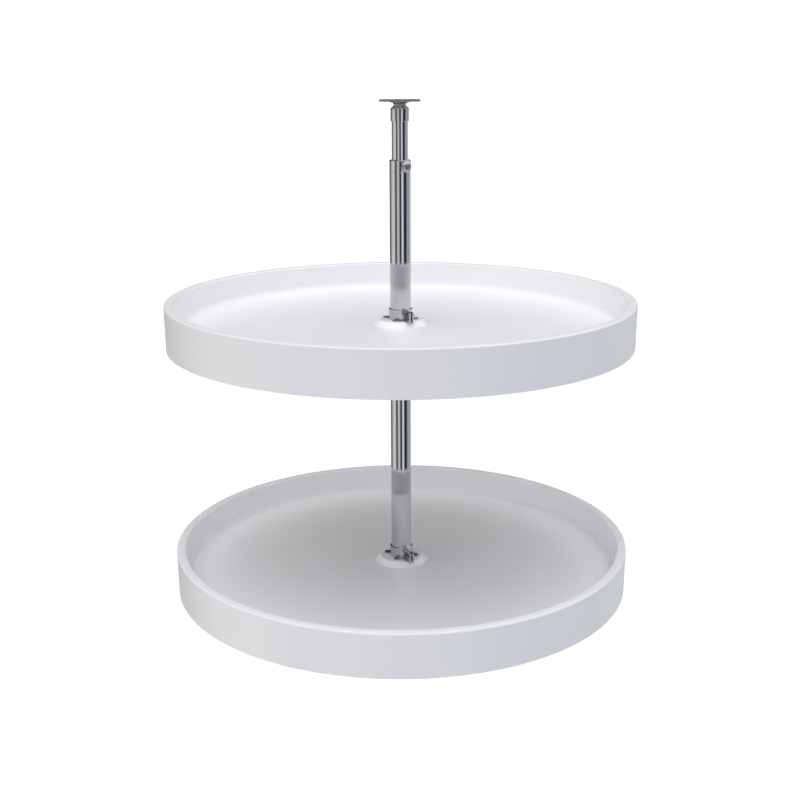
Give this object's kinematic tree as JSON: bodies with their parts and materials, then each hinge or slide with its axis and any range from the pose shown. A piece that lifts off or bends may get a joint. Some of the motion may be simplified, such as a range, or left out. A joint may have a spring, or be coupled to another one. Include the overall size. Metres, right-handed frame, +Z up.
{
  "type": "rotating pantry shelf set",
  "caption": "Full-circle moulded trays clamped to a telescoping chrome post that revolves between a base plate and a top plate.",
  "frame": {"origin": "centre of the underside of the base plate, on the post's axis", "axes": "+Z up along the post; -Y towards the side that the picture shows, +X to its right"},
  "size_m": [0.7112, 0.7112, 0.766],
  "materials": {
    "tray_white": "satin white polymer moulding",
    "chrome_tube": "bright chrome plate on steel tube",
    "chrome_clamp": "bright plated steel sheet",
    "chrome_screw": "bright plated steel",
    "plated_sheet": "bright plated steel, slightly dulled",
    "zinc_fastener": "dark passivated zinc plate",
    "spring_steel": "oiled spring steel",
    "natural_nylon": "natural nylon",
    "grey_nylon": "grey filled nylon",
    "black_acetal": "black acetal"
  },
  "bodies": {
    "base": {"base_plate": "plated_sheet", "base_pivot": "plated_sheet", "base_thrust_washer": "natural_nylon"},
    "post": {"foot_plug": "grey_nylon", "outer_tube": "chrome_tube", "guide_bush": "black_acetal", "locking_collar": "chrome_tube"},
    "lock_screw": {"lock_screw": "chrome_screw"},
    "inner_post": {"inner_tube": "chrome_tube", "tube_slider": "black_acetal", "top_cap": "chrome_tube", "top_bush": "natural_nylon"},
    "top_mount": {"top_pivot": "plated_sheet", "pivot_clip": "spring_steel", "top_plate": "plated_sheet"},
    "lower_shelf": {"lower_tray": "tray_white", "lower_clamp": "chrome_clamp", "lower_clamp_screws": "zinc_fastener", "lower_pinch_bolt": "zinc_fastener", "lower_pinch_nut": "zinc_fastener"},
    "upper_shelf": {"upper_tray": "tray_white", "upper_clamp": "chrome_clamp", "upper_clamp_screws": "zinc_fastener", "upper_pinch_bolt": "zinc_fastener", "upper_pinch_nut": "zinc_fastener"}
  },
  "joints": [
    {"name": "post_spin", "type": "hinge", "parent": "base", "child": "post", "pos_m": [0, 0, 0], "axis": [0, 0, 1], "continuous": true},
    {"name": "lower_shelf_slide", "type": "slide", "parent": "post", "child": "lower_shelf", "axis": [0, 0, 1], "range_m": [0, 0.15]},
    {"name": "upper_shelf_slide", "type": "slide", "parent": "post", "child": "upper_shelf", "axis": [0, 0, 1], "range_m": [-0.15, 0.15]},
    {"name": "height_slide", "type": "slide", "parent": "post", "child": "inner_post", "axis": [0, 0, 1], "range_m": [-0.05, 0.075]},
    {"name": "lock_screw_turn", "type": "hinge", "parent": "post", "child": "lock_screw", "pos_m": [0, 0, 0.6708], "axis": [0.4695, -0.8829, 0], "range_deg": [0, 720]},
    {"name": "top_swivel", "type": "hinge", "parent": "inner_post", "child": "top_mount", "pos_m": [0, 0, 0.7586], "axis": [0, 0, 1], "continuous": true}
  ],
  "couplings": [
    {"joint": "top_swivel", "follows": "post_spin", "ratio": -1}
  ]
}
